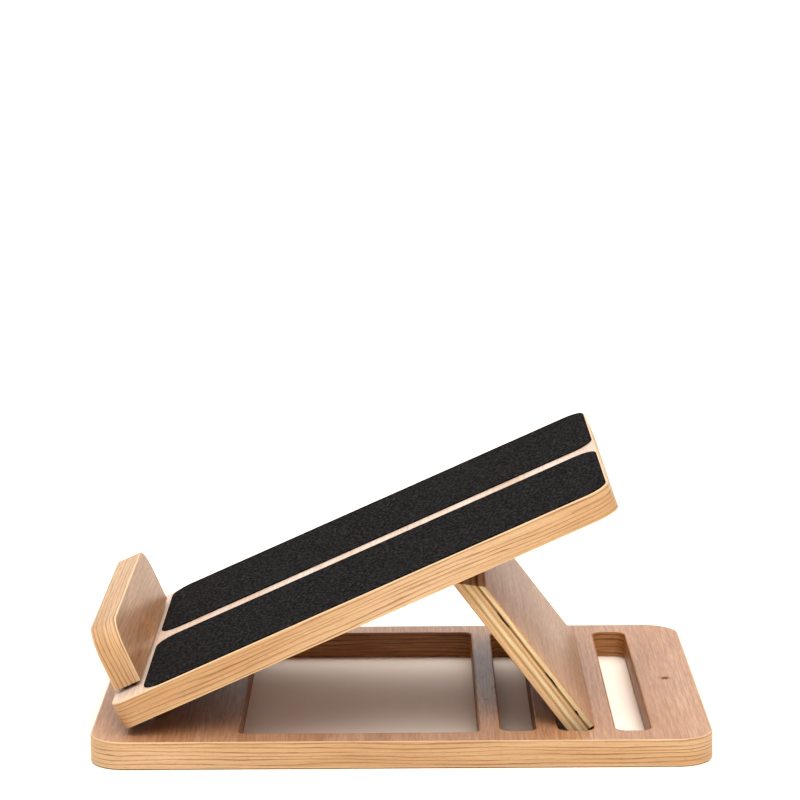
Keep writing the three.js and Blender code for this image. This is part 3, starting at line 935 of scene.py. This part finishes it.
# Name: (place, what it points at, size, power in watts, colour)
LIGHTS = {
    "key": ((0.2, -1.5, 1.9), (0.0, 0.0, 0.05), 1.4, 26.0, (1.0, 0.985, 0.96)),
    "front": ((0.1, -2.6, 0.55), (0.0, 0.0, 0.05), 1.6, 17.0, (1.0, 0.99, 0.97)),
}
CAMERA_PLACE = (0.005147, -2.011043, 0.560208)
CAMERA_TURN = {"down": 0.171415547, "yaw": -0.0024609867, "roll": -0.00680402352}  # radians
CAMERA_SENSOR = 36.0  # millimetres
CAMERA_LENS = 136.43352
CAMERA_REACH = 100.0


def make_floor():
    """A plain pale floor, just under the board."""
    outline = rectangle(-FLOOR_HALF, FLOOR_HALF, -FLOOR_HALF, FLOOR_HALF, 0.0)
    corners = [(x, y, -FLOOR_GAP) for x, y, _ in outline]
    mesh = bpy.data.meshes.new("floor")
    mesh.from_pydata(corners, [], [(0, 1, 2, 3)])
    mesh.materials.append(Graph("floor", Base_Color=FLOOR_COLOUR, Roughness=0.6).material)
    floor = bpy.data.objects.new("floor", mesh)
    bpy.context.scene.collection.objects.link(floor)


def smooth_step(tree, value, spread, results):
    """A value that goes softly from one result to the other as another crosses a spread."""
    made = tree.nodes.new("ShaderNodeMapRange")
    made.interpolation_type = "SMOOTHSTEP"
    tree.links.new(value, made.inputs[0])
    for socket, number in zip((1, 2, 3, 4), (*spread, *results)):
        made.inputs[socket].default_value = number
    return made.outputs[0]


def make_studio():
    """Plain soft light from all round, brightest overhead, and a little brighter behind."""
    world = bpy.data.worlds.new("studio")
    bpy.context.scene.world = world
    world.use_nodes = True
    tree = world.node_tree
    background = tree.nodes["Background"]
    background.inputs["Color"].default_value = (1, 1, 1, 1)
    direction = tree.nodes.new("ShaderNodeTexCoord").outputs["Generated"]
    split = tree.nodes.new("ShaderNodeSeparateXYZ")
    tree.links.new(direction, split.inputs["Vector"])
    total = tree.nodes.new("ShaderNodeMath")
    overhead = smooth_step(tree, split.outputs["Z"], SKY_SPREAD, (SKY_LOW, SKY_HIGH))
    behind = smooth_step(tree, split.outputs["Y"], BACKDROP_SPREAD, (0.0, BACKDROP))
    tree.links.new(overhead, total.inputs[0])
    tree.links.new(behind, total.inputs[1])
    tree.links.new(total.outputs[0], background.inputs["Strength"])


def make_lights():
    for name, (place, target, size, power, tint) in LIGHTS.items():
        data = bpy.data.lights.new(name, "AREA")
        data.size = size
        data.energy = power
        data.color = tint
        lamp = bpy.data.objects.new(name, data)
        lamp.location = place
        aim = Vector(target) - Vector(place)
        lamp.rotation_mode = "QUATERNION"
        lamp.rotation_quaternion = aim.to_track_quat("-Z", "Y")
        bpy.context.scene.collection.objects.link(lamp)


def make_camera():
    down, yaw, roll = CAMERA_TURN["down"], CAMERA_TURN["yaw"], CAMERA_TURN["roll"]
    forward = Vector((math.sin(yaw) * math.cos(down), math.cos(yaw) * math.cos(down), -math.sin(down)))
    right = Vector((math.cos(yaw), -math.sin(yaw), 0.0))
    above = right.cross(forward)
    rolled_right = right * math.cos(roll) + above * math.sin(roll)
    rolled_above = above * math.cos(roll) - right * math.sin(roll)
    turn = Matrix((rolled_right, rolled_above, -forward)).transposed()
    data = bpy.data.cameras.new("camera")
    data.sensor_width = CAMERA_SENSOR
    data.lens = CAMERA_LENS
    data.clip_end = CAMERA_REACH
    camera = bpy.data.objects.new("camera", data)
    camera.matrix_world = Matrix.Translation(CAMERA_PLACE) @ turn.to_4x4()
    bpy.context.scene.collection.objects.link(camera)
    bpy.context.scene.camera = camera


make_floor()
make_studio()
make_lights()
make_camera()
bpy.context.scene.view_settings.view_transform = "Standard"
